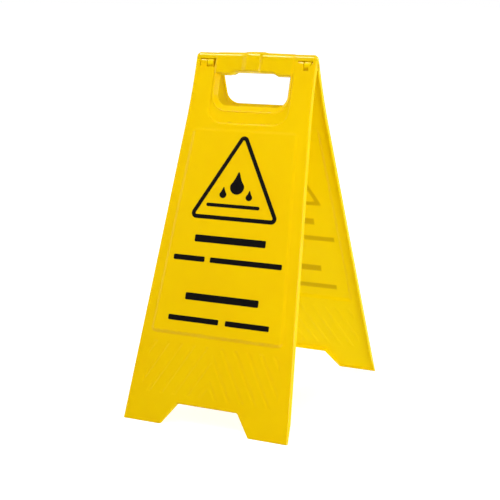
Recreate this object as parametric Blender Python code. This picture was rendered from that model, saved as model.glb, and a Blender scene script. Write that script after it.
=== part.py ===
"""Folding wet floor sign: two identical moulded panels joined at the top by two hinge pins.

Each panel is modelled in its own frame, with the origin on the hinge axis. X runs along the hinge,
Z runs up the panel, and Y runs through it, so that -Y is the face that people read. The panel is
then tilted about the hinge. The rear panel is the same moulding turned half a turn about the vertical.
The sign stands on Z = 0 with the hinge along X and the front panel towards -Y. Units are metres.
"""

from math import acos, ceil, cos, pi, radians, sin, tan

import bmesh
import bpy
from mathutils import Matrix, Vector

MM = 0.001

# Driving dimensions of the open sign
OPEN_ANGLE = radians(37.8)            # between the two panels when the sign stands
TILT = OPEN_ANGLE / 2
HINGE_UP = 617 * MM                   # floor to hinge axis, measured up the face
HINGE_DEPTH = 10 * MM                 # face to hinge axis: half the folded thickness
PLAY = 0.25 * MM                      # each panel's share of the gap at the stop and when folded

# Panel shell
BASE_HALF = 150 * MM
HEAD_HALF = 110.3 * MM
SIDE_SLOPE = 0.0715                   # how much narrower each side gets per unit of height
SIDE_RADIUS = 1.4                     # of the slow curve from the sloping side to the upright head
HEAD_UP = 635.3 * MM
HEAD_CORNER = 8 * MM
WALL = 2.3 * MM
SKIRT_DEPTH = 9.5 * MM                # depth of the flange round the panel
SKIRT_DRAFT = 0.5 * MM                # how far the flange flares out over its depth
SIDE_FILLET = 2 * MM
HEAD_FILLET = 9 * MM
NOTCH_HALF_BOTTOM = 80.5 * MM
NOTCH_HALF_TOP = 55.8 * MM
NOTCH_UP = 37 * MM
NOTCH_CORNER = 4 * MM
FOOT_CORNER = 2.5 * MM
FOOT_WALL = 5.5 * MM                  # height of the solid edge that the sign stands on
FOOT_DEPTH = 3.6 * MM                 # depth of the flange at the floor
FOOT_TAPER = 35 * MM                  # height over which it grows to full depth

# Raised sign face, which stands out most at its lower edge
FACE_UP = (149 * MM, 503 * MM)
FACE_HALF = (122.5 * MM, 97 * MM)
FACE_PROUD = (3.2 * MM, 0.8 * MM)
FACE_CORNER = 9 * MM
FACE_EASE = 5 * MM                    # width of the rounded step round it

# Hand opening and the shallow pocket that leads the fingers into it
OPENING_HALF = 69.2 * MM
OPENING_UP = (534.5 * MM, 603.5 * MM)
OPENING_CORNER = (27 * MM, 4 * MM)    # at the bottom and at the top, inside the grip
OPENING_DRAFT = (9.5 * MM, 5 * MM, 0, 5 * MM)   # narrowing towards the back: bottom, right, top, left
POCKET_HALF = 73.5 * MM
POCKET_UP = (511.5 * MM, 606 * MM)
POCKET_CORNER = (26 * MM, 6 * MM)
POCKET_DEPTH = 2.2 * MM
POCKET_FADE = (537 * MM, 578 * MM)    # heights between which the pocket runs out
LIP_PROUD = 0.9 * MM

# Chevron grooves below the sign face
GROOVE_ANGLE = radians(30)            # of each arm from the vertical
GROOVE_PITCH = 20.65 * MM
GROOVE_FIRST = 38.7 * MM              # distance of the lowest chevron from the middle of the base
GROOVE_COUNT = 7
GROOVE_WIDTH = 8 * MM
GROOVE_FLOOR = 2.6 * MM
GROOVE_DEPTH = 0.6 * MM
FIELD_UP = (50 * MM, 137 * MM)
FIELD_MARGIN = 20 * MM

# Hand grip: a hollow bar along the top, closed by the other panel's bar when the sign is open
GRIP_PROUD = 1.2 * MM
GRIP_TOP = 19.3 * MM                  # above the hinge axis, at the middle
GRIP_CROWN = 0.9 * MM                 # how much lower the top is at the ends of the grip
GRIP_BOTTOM = 21 * MM                 # below the hinge axis, at the ends
GRIP_BOTTOM_MIDDLE = 16.3 * MM
GRIP_RADIUS = 10 * MM
GRIP_LOWER_RADIUS = 4 * MM
GRIP_SHELL = 2.5 * MM
GRIP_RELIEF = (33 * MM, 45 * MM)      # where the raised part of its underside starts to fall, and ends
GRIP_END = (69 * MM, 72.5 * MM)       # the same for the ends of the grip itself
GRIP_BLOCK_LEFT = (11 * MM, 24 * MM)  # and for the pad in the middle, with a long slope on its left
GRIP_BLOCK_RIGHT = (10 * MM, 14.5 * MM)
GRIP_BLOCK_PROUD = 4.2 * MM
GRIP_RIBS = (-33 * MM, 0, 33 * MM)
RIB_HALF = 1.1 * MM

# Hinge: a fork at the right of each panel takes the tongue at the left of the other
KNUCKLE_RADIUS = 9.3 * MM
EAR_RADIUS = 7.5 * MM                 # of the outer leg of the fork, which sits behind the other panel's face
HINGE_CLEARANCE = 0.4 * MM
FORK_INNER = (77.6 * MM, 88.8 * MM)
FORK_OUTER = (102.2 * MM, 110 * MM)
TONGUE = (89.4 * MM, 101.6 * MM)
PIN_RADIUS = 2.5 * MM
PIN_HEAD_RADIUS = 4 * MM
PIN_HEAD = 1.8 * MM
PIN_SPAN = (76.5 * MM, 109.4 * MM)
PIN_GAP = 0.3 * MM

YELLOW = (0.90, 0.55, 0.004, 1.0)
PIN_YELLOW = (0.80, 0.46, 0.004, 1.0)


def clear_scene():
    for item in list(bpy.data.objects):
        bpy.data.objects.remove(item, do_unlink=True)


def plastic(name, colour, roughness):
    material = bpy.data.materials.new(name)
    material.use_nodes = True
    shader = material.node_tree.nodes["Principled BSDF"]
    shader.inputs["Base Color"].default_value = colour
    shader.inputs["Roughness"].default_value = roughness
    shader.inputs["Metallic"].default_value = 0.0
    return material


def side_half(up):
    """Half width of the panel at a height, without the slow curve."""
    return max(BASE_HALF - SIDE_SLOPE * up, HEAD_HALF)


# Outlines: closed lists of corners, anticlockwise as seen from the face


def outline_ring(corners, insets):
    """The outline moved inwards by one inset per edge. Edge i runs from corner i to the next.

    A corner is (x, up, radius, points). Convex corners get tighter as they move in, and hollow ones
    get wider, so that the rings stay a constant distance apart.
    """
    count = len(corners)
    lines = []
    for i in range(count):
        start = Vector(corners[i][:2])
        along = (Vector(corners[(i + 1) % count][:2]) - start).normalized()
        inward = Vector((-along.y, along.x))
        lines.append((start + inward * insets[i], along))
    ring = []
    for i in range(count):
        (here, along), (before, along_before) = lines[i], lines[i - 1]
        turn = along_before.cross(along)
        corner = before + along_before * ((here - before).cross(along) / turn)
        mean = (insets[i] + insets[i - 1]) / 2
        radius = corners[i][2] + (-mean if turn > 0 else mean)
        ring += corner_arc(corner, along_before, along, max(radius, 0.2 * MM), corners[i][3])
    return ring


def corner_arc(corner, along_before, along, radius, points):
    if points == 1:
        return [corner]
    angle = acos(max(-1.0, min(1.0, along_before.dot(along))))
    reach = radius * tan(angle / 2)
    start = corner - along_before * reach
    side = 1 if along_before.cross(along) > 0 else -1
    centre = start + Vector((-along_before.y, along_before.x)) * side * radius
    arc = []
    for step in range(points):
        swing = side * angle * step / (points - 1)
        arc.append(centre + Matrix.Rotation(swing, 2) @ (start - centre))
    return arc


def even(corners, inset):
    return outline_ring(corners, [inset] * len(corners))


def trapezoid(up, half, radius, points):
    """Corners of a symmetric outline between two heights, with a half width and a corner radius at each."""
    return [
        (-half[0], up[0], radius[0], points),
        (half[0], up[0], radius[0], points),
        (half[1], up[1], radius[1], points),
        (-half[1], up[1], radius[1], points),
    ]


def clip(polygon, normal, limit):
    """Keeps the part of a polygon where the point's dot product with normal is at most limit."""
    kept = []
    for i, point in enumerate(polygon):
        following = polygon[(i + 1) % len(polygon)]
        here = point.dot(normal) - limit
        there = following.dot(normal) - limit
        if here <= 0:
            kept.append(point)
        if here * there < 0:
            kept.append(point.lerp(following, here / (here - there)))
    return kept


def chevron_outlines():
    """One outline for each chevron that crosses the middle, and two for each that doesn't."""
    low, high = FIELD_UP
    field = [
        Vector((0, low)),
        Vector((side_half(low) - FIELD_MARGIN, low)),
        Vector((side_half(high) - FIELD_MARGIN, high)),
        Vector((0, high)),
    ]
    across = Vector((cos(GROOVE_ANGLE), sin(GROOVE_ANGLE)))
    outlines = []
    for number in range(GROOVE_COUNT):
        middle = GROOVE_FIRST + number * GROOVE_PITCH
        band = clip(field, across, middle + GROOVE_WIDTH / 2)
        band = clip(band, -across, GROOVE_WIDTH / 2 - middle)
        right = [p for p in band if p.x > 1e-6]
        mirrored = [Vector((-p.x, p.y)) for p in reversed(right)]
        on_axis = sorted((p for p in band if p.x <= 1e-6), key=lambda p: p.y)
        if on_axis:
            start = min(range(len(band)), key=lambda i: (band[i].x > 1e-6, band[i].y))
            turned = band[start:] + band[:start]
            right = [p for p in turned if p.x > 1e-6]
            mirrored = [Vector((-p.x, p.y)) for p in reversed(right)]
            outlines.append([on_axis[0]] + right + [on_axis[-1]] + mirrored)
        else:
            outlines += [right, mirrored]
    return [[(p.x, p.y, 1.2 * MM, 2) for p in outline] for outline in outlines]


def face_proud(up):
    share = (up - FACE_UP[0]) / (FACE_UP[1] - FACE_UP[0])
    return FACE_PROUD[0] + (FACE_PROUD[1] - FACE_PROUD[0]) * min(max(share, 0), 1)


# Mesh building


def add_ring(mesh, points, depth):
    """Vertices at points (x, height up the face), at a depth behind the face or a function of the height."""
    ring = []
    for x, up in points:
        behind = depth(up) if callable(depth) else depth
        ring.append(mesh.verts.new((x, behind - HINGE_DEPTH, up - HINGE_UP)))
    return ring


def join_rings(mesh, rings):
    for one, other in zip(rings, rings[1:]):
        for i in range(len(one)):
            j = (i + 1) % len(one)
            mesh.faces.new((one[i], one[j], other[j], other[i]))


def fill_between(mesh, rings):
    """Fills the flat area inside the first ring and outside the others."""
    edges = []
    for ring in rings:
        for i in range(len(ring)):
            pair = (ring[i], ring[(i + 1) % len(ring)])
            edges.append(mesh.edges.get(pair) or mesh.edges.new(pair))
    bmesh.ops.triangle_fill(mesh, use_beauty=True, edges=edges)


def finish(mesh, name):
    bmesh.ops.recalc_face_normals(mesh, faces=mesh.faces)
    data = bpy.data.meshes.new(name)
    mesh.to_mesh(data)
    mesh.free()
    item = bpy.data.objects.new(name, data)
    bpy.context.scene.collection.objects.link(item)
    return item


def combine(target, tool, operation):
    """Applies one Boolean to the target and removes the tool."""
    modifier = target.modifiers.new(operation.lower(), "BOOLEAN")
    modifier.operation = operation
    modifier.solver = "EXACT"
    modifier.object = tool
    bpy.context.view_layer.update()
    evaluated = target.evaluated_get(bpy.context.evaluated_depsgraph_get())
    result = bpy.data.meshes.new_from_object(evaluated)
    target.modifiers.clear()
    target.data = result
    bpy.data.objects.remove(tool, do_unlink=True)


def prism(name, profile, span):
    """A solid with the same section all along X. The profile holds (y, z) points."""
    mesh = bmesh.new()
    ends = [[mesh.verts.new((x, y, z)) for y, z in profile] for x in span]
    join_rings(mesh, ends)
    for end in ends:
        mesh.faces.new(end)
    return finish(mesh, name)


def disc(name, radius, span, segments=28):
    """A cylinder on the hinge axis."""
    turn = [2 * pi * (i + 0.5) / segments for i in range(segments)]
    return prism(name, [(radius * cos(a), radius * sin(a)) for a in turn], span)


def block(name, span, y, z):
    return prism(name, [(y[0], z[0]), (y[1], z[0]), (y[1], z[1]), (y[0], z[1])], span)


# Panel shell


def panel_outline():
    """Corners of the panel and, for each edge, the radius of its fillet and the thickness of its flange."""
    base_up = -1 * MM
    base = side_half(base_up)
    lean = (NOTCH_HALF_BOTTOM - NOTCH_HALF_TOP) / NOTCH_UP
    notch = NOTCH_HALF_BOTTOM - lean * base_up
    curve_up = (BASE_HALF - HEAD_HALF) / SIDE_SLOPE
    right = [
        (NOTCH_HALF_TOP, NOTCH_UP, NOTCH_CORNER, 4, SIDE_FILLET),
        (notch, base_up, FOOT_CORNER, 3, SIDE_FILLET / 2),
        (base, base_up, FOOT_CORNER, 3, SIDE_FILLET),
        (HEAD_HALF, curve_up, SIDE_RADIUS, 6, SIDE_FILLET),
        (HEAD_HALF, HEAD_UP, HEAD_CORNER, 6, HEAD_FILLET),
    ]
    left = []
    for i, (x, up, radius, points, _) in enumerate(reversed(right)):
        following = right[len(right) - 2 - i][4] if i + 1 < len(right) else SIDE_FILLET
        left.append((-x, up, radius, points, following))
    both = right + left
    walls = []
    for i, corner in enumerate(both):
        stands = corner[1] == base_up == both[(i + 1) % len(both)][1]
        walls.append(FOOT_WALL if stands else WALL)
    return [corner[:4] for corner in both], [corner[4] for corner in both], walls


def shell_rings(mesh):
    """Rings round the edge of the panel, from the flat face, over the flange and back to the inner face."""
    corners, fillets, walls = panel_outline()
    outer, inner = [], []
    for turn in (0, 30, 60, 90):
        gone, left = 1 - sin(radians(turn)), 1 - cos(radians(turn))
        points = outline_ring(corners, [r * gone for r in fillets])
        outer.append(edge_ring(mesh, corners, points, [r * left for r in fillets]))
    rim = [
        add_ring(mesh, even(corners, -SKIRT_DRAFT), SKIRT_DEPTH),
        add_ring(mesh, outline_ring(corners, walls), SKIRT_DEPTH),
    ]
    for turn in (90, 45, 0):
        gone, left = 1 - sin(radians(turn)), 1 - cos(radians(turn))
        bends = [max(r - WALL, 1 * MM) for r in fillets]
        points = outline_ring(corners, [wall + r * gone for wall, r in zip(walls, bends)])
        inner.append(edge_ring(mesh, corners, points, [WALL + r * left for r in bends]))
    rings = outer + rim + inner
    join_rings(mesh, rings)
    return rings[0], rings[-1]


def edge_ring(mesh, corners, points, depths):
    """A ring whose depth is given for each edge and changes evenly round each corner."""
    ring = []
    count = len(corners)
    index = 0
    for i in range(count):
        steps = corners[i][3]
        for step in range(steps):
            share = 0.5 if steps == 1 else step / (steps - 1)
            depth = depths[i - 1] + (depths[i] - depths[i - 1]) * share
            x, up = points[index]
            ring.append(mesh.verts.new((x, depth - HINGE_DEPTH, up - HINGE_UP)))
            index += 1
    return ring


def face_rings(mesh):
    """The raised sign face on the outside, and the hollow behind it on the inside."""
    corners = trapezoid(FACE_UP, FACE_HALF, (FACE_CORNER,) * 2, 5)
    steps = ((0, 0), (0.3, 0.22), (0.7, 0.78), (1, 1))
    outer = []
    inner = []
    for inset, rise in steps:
        points = even(corners, inset * FACE_EASE)
        outer.append(add_ring(mesh, points, lambda up, rise=rise: -rise * face_proud(up)))
    for inset, rise in steps[::3]:
        points = even(corners, WALL / 2 + inset * FACE_EASE)
        inner.append(add_ring(mesh, points, lambda up, rise=rise: WALL - rise * face_proud(up)))
    join_rings(mesh, outer)
    join_rings(mesh, inner)
    mesh.faces.new(outer[-1])
    mesh.faces.new(inner[-1])
    return outer[0], inner[0]


def opening_rings(mesh):
    """The pocket, the lip and the wall of the hand opening, from the face through to the inner face."""
    pocket = trapezoid(POCKET_UP, (POCKET_HALF,) * 2, POCKET_CORNER, 6)
    hole = trapezoid(OPENING_UP, (OPENING_HALF,) * 2, OPENING_CORNER, 6)

    def narrowed(share, wider):
        return outline_ring(hole, [share * draft - wider for draft in OPENING_DRAFT])

    def below(depth, share=1.0):
        """Depth below the floor of the pocket, which runs out towards the top of the opening."""
        full = POCKET_DEPTH * share
        fade = POCKET_FADE[1] - POCKET_FADE[0]
        return lambda up: depth + full * min(max((POCKET_FADE[1] - up) / fade, 0), 1)

    rings = [
        add_ring(mesh, even(pocket, -1.2 * MM), 0),
        add_ring(mesh, even(pocket, 0), below(0, 0.35)),
        add_ring(mesh, even(pocket, 1 * MM), below(0)),
        add_ring(mesh, narrowed(0, 3.4 * MM), below(0.6 * MM)),
        add_ring(mesh, narrowed(0, 1.9 * MM), below(0.6 * MM - LIP_PROUD)),
        add_ring(mesh, narrowed(0, 0.7 * MM), below(0.7 * MM - LIP_PROUD)),
        add_ring(mesh, narrowed(0.05, 0), below(1.3 * MM)),
        add_ring(mesh, narrowed(0.95, 0), SKIRT_DEPTH - 0.6 * MM),
        add_ring(mesh, narrowed(0.95, 0.6 * MM), SKIRT_DEPTH),
        add_ring(mesh, narrowed(0.95, 1.3 * WALL), SKIRT_DEPTH),
        add_ring(mesh, narrowed(0.35, 1.3 * WALL), below(WALL + 2 * MM)),
        add_ring(mesh, narrowed(0, 1.6 * WALL), below(WALL + 0.6 * MM)),
        add_ring(mesh, even(pocket, 0.6 * MM), below(WALL)),
        add_ring(mesh, even(pocket, -2.2 * MM), WALL),
    ]
    join_rings(mesh, rings)
    return rings[0], rings[-1]


def groove_rings(mesh):
    """The chevrons: hollows on the outside, and matching ridges on the inside."""
    outer = []
    inner = []
    ease = (GROOVE_WIDTH - GROOVE_FLOOR) / 2
    for corners in chevron_outlines():
        top = add_ring(mesh, even(corners, 0), 0)
        bottom = add_ring(mesh, even(corners, ease), GROOVE_DEPTH)
        base = add_ring(mesh, even(corners, 0), WALL)
        crest = add_ring(mesh, even(corners, ease), WALL + GROOVE_DEPTH)
        join_rings(mesh, [top, bottom])
        join_rings(mesh, [base, crest])
        fill_between(mesh, [bottom])
        fill_between(mesh, [crest])
        outer.append(top)
        inner.append(base)
    return outer, inner


def panel_shell():
    mesh = bmesh.new()
    face_edge, back_edge = shell_rings(mesh)
    sign_outer, sign_inner = face_rings(mesh)
    pocket_outer, pocket_inner = opening_rings(mesh)
    grooves_outer, grooves_inner = groove_rings(mesh)
    fill_between(mesh, [face_edge, sign_outer, pocket_outer] + grooves_outer)
    fill_between(mesh, [back_edge, sign_inner, pocket_inner] + grooves_inner)
    return finish(mesh, "panel")


# Grip


def plateau(x, edge):
    """1 up to the start of the edge, 0 past its end, and an even slope between."""
    start, end = edge
    return min(max((end - abs(x)) / (end - start), 0), 1)


def grip_section(x, inset):
    """Outline (y, z) of the grip at a place along it. It runs past the hinge plane, which trims it."""
    block_edge = GRIP_BLOCK_LEFT if x < 0 else GRIP_BLOCK_RIGHT
    proud = GRIP_PROUD * plateau(x, GRIP_END) + GRIP_BLOCK_PROUD * plateau(x, block_edge)
    top = GRIP_TOP - GRIP_CROWN * (x / GRIP_END[1]) ** 2
    bottom = -GRIP_BOTTOM + (GRIP_BOTTOM - GRIP_BOTTOM_MIDDLE) * plateau(x, GRIP_RELIEF)
    front, top, bottom = inset - HINGE_DEPTH - 0.2 * MM - proud, top - inset, bottom + inset
    upper = GRIP_RADIUS - inset
    lower = GRIP_LOWER_RADIUS - inset
    points = [(HINGE_DEPTH if inset else -PLAY, bottom)]
    for turn in (90, 60, 30, 0):
        a = radians(turn)
        points.append((front + lower * (1 - cos(a)), bottom + lower * (1 - sin(a))))
    for turn in (0, 18, 36, 54, 72, 90):
        a = radians(turn)
        points.append((front + upper * (1 - cos(a)), top - upper * (1 - sin(a))))
    points.append((HINGE_DEPTH, top))
    points.append((HINGE_DEPTH, 0) if inset else (-PLAY, 0))
    return points


def grip_loft(name, start, end, inset):
    """A length of the grip, with a section wherever its shape changes."""
    places = {start, end}
    for place in GRIP_END + GRIP_RELIEF + GRIP_BLOCK_LEFT + GRIP_BLOCK_RIGHT:
        places.update(x for x in (-place, place) if start < x < end)
    crown = ceil((end - start) / (25 * MM))
    places.update(start + (end - start) * i / crown for i in range(1, crown))
    mesh = bmesh.new()
    rings = []
    for x in sorted(places):
        rings.append([mesh.verts.new((x, y, z)) for y, z in grip_section(x, inset)])
    join_rings(mesh, rings)
    mesh.faces.new(rings[0])
    mesh.faces.new(rings[-1])
    return finish(mesh, name)


def add_grip(panel):
    combine(panel, grip_loft("grip", -GRIP_END[1], GRIP_END[1], 0), "UNION")
    stops = [-OPENING_HALF + RIB_HALF, *GRIP_RIBS, OPENING_HALF - RIB_HALF]
    for left, right in zip(stops, stops[1:]):
        hollow = grip_loft("hollow", left + RIB_HALF, right - RIB_HALF, GRIP_SHELL)
        combine(panel, hollow, "DIFFERENCE")


# Hinge and stop


def cut_windows(panel):
    """Openings in the face that show the knuckles and let the mould form the fork."""
    depth = (-2 * HINGE_DEPTH, WALL + 0.5 * MM - HINGE_DEPTH)
    windows = [
        ((-102.4 * MM, -72.8 * MM), (-9 * MM, 5.5 * MM)),
        ((78.5 * MM, 89 * MM), (1.5 * MM, 5.5 * MM)),
        ((88.9 * MM, 98.2 * MM), (-11 * MM, 5.5 * MM)),
        ((98.1 * MM, 105 * MM), (-3.5 * MM, 5 * MM)),
    ]
    for span, height in windows:
        combine(panel, block("window", span, depth, height), "DIFFERENCE")


def trim_at_stop(panel):
    """Cuts the bar along the plane where the two panels meet when the sign is fully open."""
    high, far = 60 * MM, 30 * MM
    leaning = (-PLAY - high * sin(TILT)) / cos(TILT)
    profile = [
        (-PLAY, -40 * MM),
        (far, -40 * MM),
        (far, high),
        (leaning, high),
        (-PLAY, 0),
    ]
    combine(panel, prism("stop", profile, (-0.13, 0.13)), "DIFFERENCE")


def trim_feet(panel):
    """Makes the flange shallow at the floor, and the soles of the feet flat on it."""
    floor = [(-40 * MM, 0), (40 * MM, 0), (40 * MM, -30 * MM), (-40 * MM, -30 * MM)]
    sole = []
    for y, z in floor:
        forward = y * cos(TILT) - z * sin(TILT)
        upward = y * sin(TILT) + z * cos(TILT)
        sole.append((forward - HINGE_DEPTH, upward - HINGE_UP))
    taper = [
        (FOOT_DEPTH - HINGE_DEPTH, -HINGE_UP),
        (SKIRT_DEPTH + 0.1 * MM - HINGE_DEPTH, FOOT_TAPER - HINGE_UP),
        (4 * HINGE_DEPTH, FOOT_TAPER - HINGE_UP),
        (4 * HINGE_DEPTH, -20 * MM - HINGE_UP),
        (FOOT_DEPTH - HINGE_DEPTH, -20 * MM - HINGE_UP),
    ]
    combine(panel, prism("taper", taper, (-0.2, 0.2)), "DIFFERENCE")
    combine(panel, prism("sole", sole, (-0.2, 0.2)), "DIFFERENCE")


def add_hinge(panel):
    """Clears the other panel's knuckles, then adds this panel's own, then bores them for the pins."""
    gap = HINGE_CLEARANCE
    cleared = [
        (EAR_RADIUS, (-FORK_OUTER[1] - 3 * MM, gap - FORK_OUTER[0])),
        (KNUCKLE_RADIUS, (-FORK_INNER[1] - gap, gap - FORK_INNER[0])),
        (KNUCKLE_RADIUS, (TONGUE[0] - gap, TONGUE[1] + gap)),
    ]
    for radius, span in cleared:
        combine(panel, disc("clearance", radius + gap, span), "DIFFERENCE")
    knuckles = [
        (KNUCKLE_RADIUS, FORK_INNER, (-12 * MM, 1 * MM)),
        (EAR_RADIUS, FORK_OUTER, (-12 * MM, 1 * MM)),
        (KNUCKLE_RADIUS, (-TONGUE[1], -TONGUE[0]), (-18 * MM, -4 * MM)),
    ]
    for radius, span, web in knuckles:
        combine(panel, disc("knuckle", radius, span), "UNION")
        combine(panel, block("web", span, (WALL / 2 - HINGE_DEPTH, 0), web), "UNION")
    bore = PIN_RADIUS + PIN_GAP
    combine(panel, disc("bore", bore, (-0.13, -75 * MM), 20), "DIFFERENCE")
    combine(panel, disc("bore", bore, (75 * MM, 0.13), 20), "DIFFERENCE")
    seat = (PIN_SPAN[1] - PIN_HEAD - PIN_GAP, 0.13)
    combine(panel, disc("seat", PIN_HEAD_RADIUS + PIN_GAP, seat, 20), "DIFFERENCE")


def hinge_pin(name):
    """A headed pin along X, with its head at the outer end. Its origin is on the hinge axis."""
    start, end = PIN_SPAN
    chamfer = 0.7 * MM
    profile = [
        (start, PIN_RADIUS - chamfer),
        (start + chamfer, PIN_RADIUS),
        (end - PIN_HEAD, PIN_RADIUS),
        (end - PIN_HEAD, PIN_HEAD_RADIUS),
        (end - chamfer, PIN_HEAD_RADIUS),
        (end, PIN_HEAD_RADIUS - chamfer),
    ]
    mesh = bmesh.new()
    rings = []
    for x, radius in profile:
        turn = [2 * pi * (i + 0.5) / 20 for i in range(20)]
        rings.append([mesh.verts.new((x, radius * cos(a), radius * sin(a))) for a in turn])
    join_rings(mesh, rings)
    mesh.faces.new(rings[0])
    mesh.faces.new(rings[-1])
    return finish(mesh, name)


def shade(item):
    item.data.shade_smooth()
    item.data.set_sharp_from_angle(angle=radians(32))


def tidy(item):
    """Welds the slivers that the Booleans leave."""
    mesh = bmesh.new()
    mesh.from_mesh(item.data)
    bmesh.ops.remove_doubles(mesh, verts=mesh.verts, dist=0.01 * MM)
    bmesh.ops.dissolve_degenerate(mesh, edges=mesh.edges, dist=0.01 * MM)
    mesh.to_mesh(item.data)
    mesh.free()


def place(item, turned):
    """Puts a piece on the hinge axis with its panel's lean, turned half round for the rear panel."""
    axis_height = HINGE_UP * cos(TILT) - HINGE_DEPTH * sin(TILT)
    item.location = (0, 0, axis_height)
    item.rotation_euler = (-TILT, 0, pi if turned else 0)


def main():
    clear_scene()
    front = panel_shell()
    add_grip(front)
    cut_windows(front)
    trim_at_stop(front)
    trim_feet(front)
    add_hinge(front)
    tidy(front)
    front.name = "front_panel"
    rear = bpy.data.objects.new("rear_panel", front.data.copy())
    bpy.context.scene.collection.objects.link(rear)
    right_pin = hinge_pin("hinge_pin_right")
    left_pin = hinge_pin("hinge_pin_left")
    for item, turned in ((front, False), (right_pin, False), (rear, True), (left_pin, True)):
        place(item, turned)
        shade(item)
    for item in (front, rear):
        item.data.materials.clear()
        item.data.materials.append(plastic(item.name, YELLOW, 0.38))
    for item in (right_pin, left_pin):
        item.data.materials.append(plastic(item.name, PIN_YELLOW, 0.42))


main()
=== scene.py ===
"""Looks of the folding wet floor sign: fine panels and pins, printed graphics, plastic, studio and camera.

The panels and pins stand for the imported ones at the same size, with rounder edges and finer curves.
Each panel is made in its own frame, with the origin on the hinge axis. X runs along the hinge, Z runs
up the panel, and Y runs through it, so that -Y is the face that people read. Units are metres.
"""

from math import acos, ceil, cos, pi, radians, sin, tan

import bmesh
import bpy
from mathutils import Matrix, Vector


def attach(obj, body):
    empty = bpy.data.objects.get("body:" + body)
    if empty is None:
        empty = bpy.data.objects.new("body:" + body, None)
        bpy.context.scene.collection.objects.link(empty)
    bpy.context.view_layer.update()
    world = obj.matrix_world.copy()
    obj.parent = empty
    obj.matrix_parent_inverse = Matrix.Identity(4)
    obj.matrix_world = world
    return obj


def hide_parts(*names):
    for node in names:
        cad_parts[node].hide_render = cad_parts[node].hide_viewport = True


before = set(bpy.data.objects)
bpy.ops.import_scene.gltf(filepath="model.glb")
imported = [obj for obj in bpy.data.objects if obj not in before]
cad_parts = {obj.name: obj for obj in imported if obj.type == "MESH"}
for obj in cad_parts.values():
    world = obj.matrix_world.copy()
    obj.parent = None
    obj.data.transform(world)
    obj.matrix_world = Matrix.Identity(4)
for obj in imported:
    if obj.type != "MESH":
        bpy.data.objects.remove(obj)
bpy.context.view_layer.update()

MM = 0.001

# The open sign. A panel's heights start at its foot, and its depths start at its face
OPEN_ANGLE = radians(37.8)
TILT = OPEN_ANGLE / 2
HINGE_UP = 617 * MM
HINGE_DEPTH = 10 * MM
PLAY = 0.25 * MM

# Outline, sheet and flange of a panel
BASE_HALF = 150 * MM
HEAD_HALF = 110.3 * MM
SIDE_SLOPE = 0.0715
SIDE_RADIUS = 1.4
HEAD_UP = 635.3 * MM
HEAD_CORNER = 8 * MM
WALL = 2.3 * MM
SKIRT_DEPTH = 9.5 * MM
SKIRT_DRAFT = 0.5 * MM
SIDE_FILLET = 2 * MM
HEAD_FILLET = 9 * MM
RIM_EASE = 0.35 * MM
RIM_SECTION = ((0, 1), (0.3, 0.3), (1, 0))  # inset and distance short of the rim, as shares of the ease
TIGHTEST_CORNER = 0.2 * MM

# Feet
NOTCH_HALF_BOTTOM = 80.5 * MM
NOTCH_HALF_TOP = 55.8 * MM
NOTCH_UP = 37 * MM
NOTCH_CORNER = 4 * MM
FOOT_CORNER = 2.5 * MM
FOOT_WALL = 5.5 * MM
FOOT_DEPTH = 3.6 * MM
FOOT_TAPER = 35 * MM
SOLE_SPARE = 1 * MM                        # panel left below the floor, until the soles are cut

# Raised sign face
FACE_UP = (149 * MM, 503 * MM)
FACE_HALF = (122.5 * MM, 97 * MM)
FACE_PROUD = (3.2 * MM, 0.8 * MM)
FACE_CORNER = 9 * MM
FACE_EASE = 7 * MM

# Hand opening, with a lip round it, in a shallow pocket that fades out upwards
OPENING_HALF = 69.2 * MM
OPENING_UP = (534.5 * MM, 603.5 * MM)
OPENING_CORNER = (27 * MM, 4 * MM)
OPENING_DRAFT = (9.5 * MM, 5 * MM, 0, 5 * MM)
POCKET_HALF = 73.5 * MM
POCKET_UP = (511.5 * MM, 606 * MM)
POCKET_CORNER = (26 * MM, 6 * MM)
POCKET_DEPTH = 2.2 * MM
POCKET_FADE = (537 * MM, 578 * MM)
POCKET_STEP = 2.4 * MM
OPENING_POINTS = 24                        # points on each corner of the opening and the pocket
LIP_PROUD = 0.9 * MM
# Lip: distance outside the opening and depth, in millimetres, and share of the lip's height
LIP_SECTION = (
    (3.6, 0.55, 0),
    (3.2, 0.6, 0),
    (2.8, 0.5, 0.2),
    (2.3, 0.6, 0.75),
    (1.9, 0.6, 0.93),
    (1.4, 0.6, 1),
    (0.9, 0.6, 0.97),
    (0.5, 0.7, 0.85),
    (0.2, 0.9, 0.6),
    (0, 1.3, 0.35),
)
# Rim of the opening's wall: share of the draft, and distances outside and short of the rim in millimetres
OPENING_RIM = ((0.95, 0, 0.7), (0.97, 0.1, 0.35), (0.97, 0.35, 0.1), (0.97, 0.7, 0))
# Back of that wall: share of the draft, distance outside in walls, and depth past the wall in millimetres
OPENING_BACK = ((0.35, 1.3, 2), (0.1, 1.4, 1), (0, 1.6, 0.6))

# Chevrons
GROOVE_ANGLE = radians(30)
GROOVE_PITCH = 20.65 * MM
GROOVE_FIRST = 38.7 * MM
GROOVE_COUNT = 7
GROOVE_WIDTH = 8 * MM
GROOVE_FLOOR = 2.6 * MM
GROOVE_DEPTH = 0.6 * MM
GROOVE_CORNER = 1.6 * MM
FIELD_UP = (50 * MM, 137 * MM)
FIELD_MARGIN = 20 * MM
ON_AXIS = 0.001 * MM                       # a point this close to the middle is on it

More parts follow.
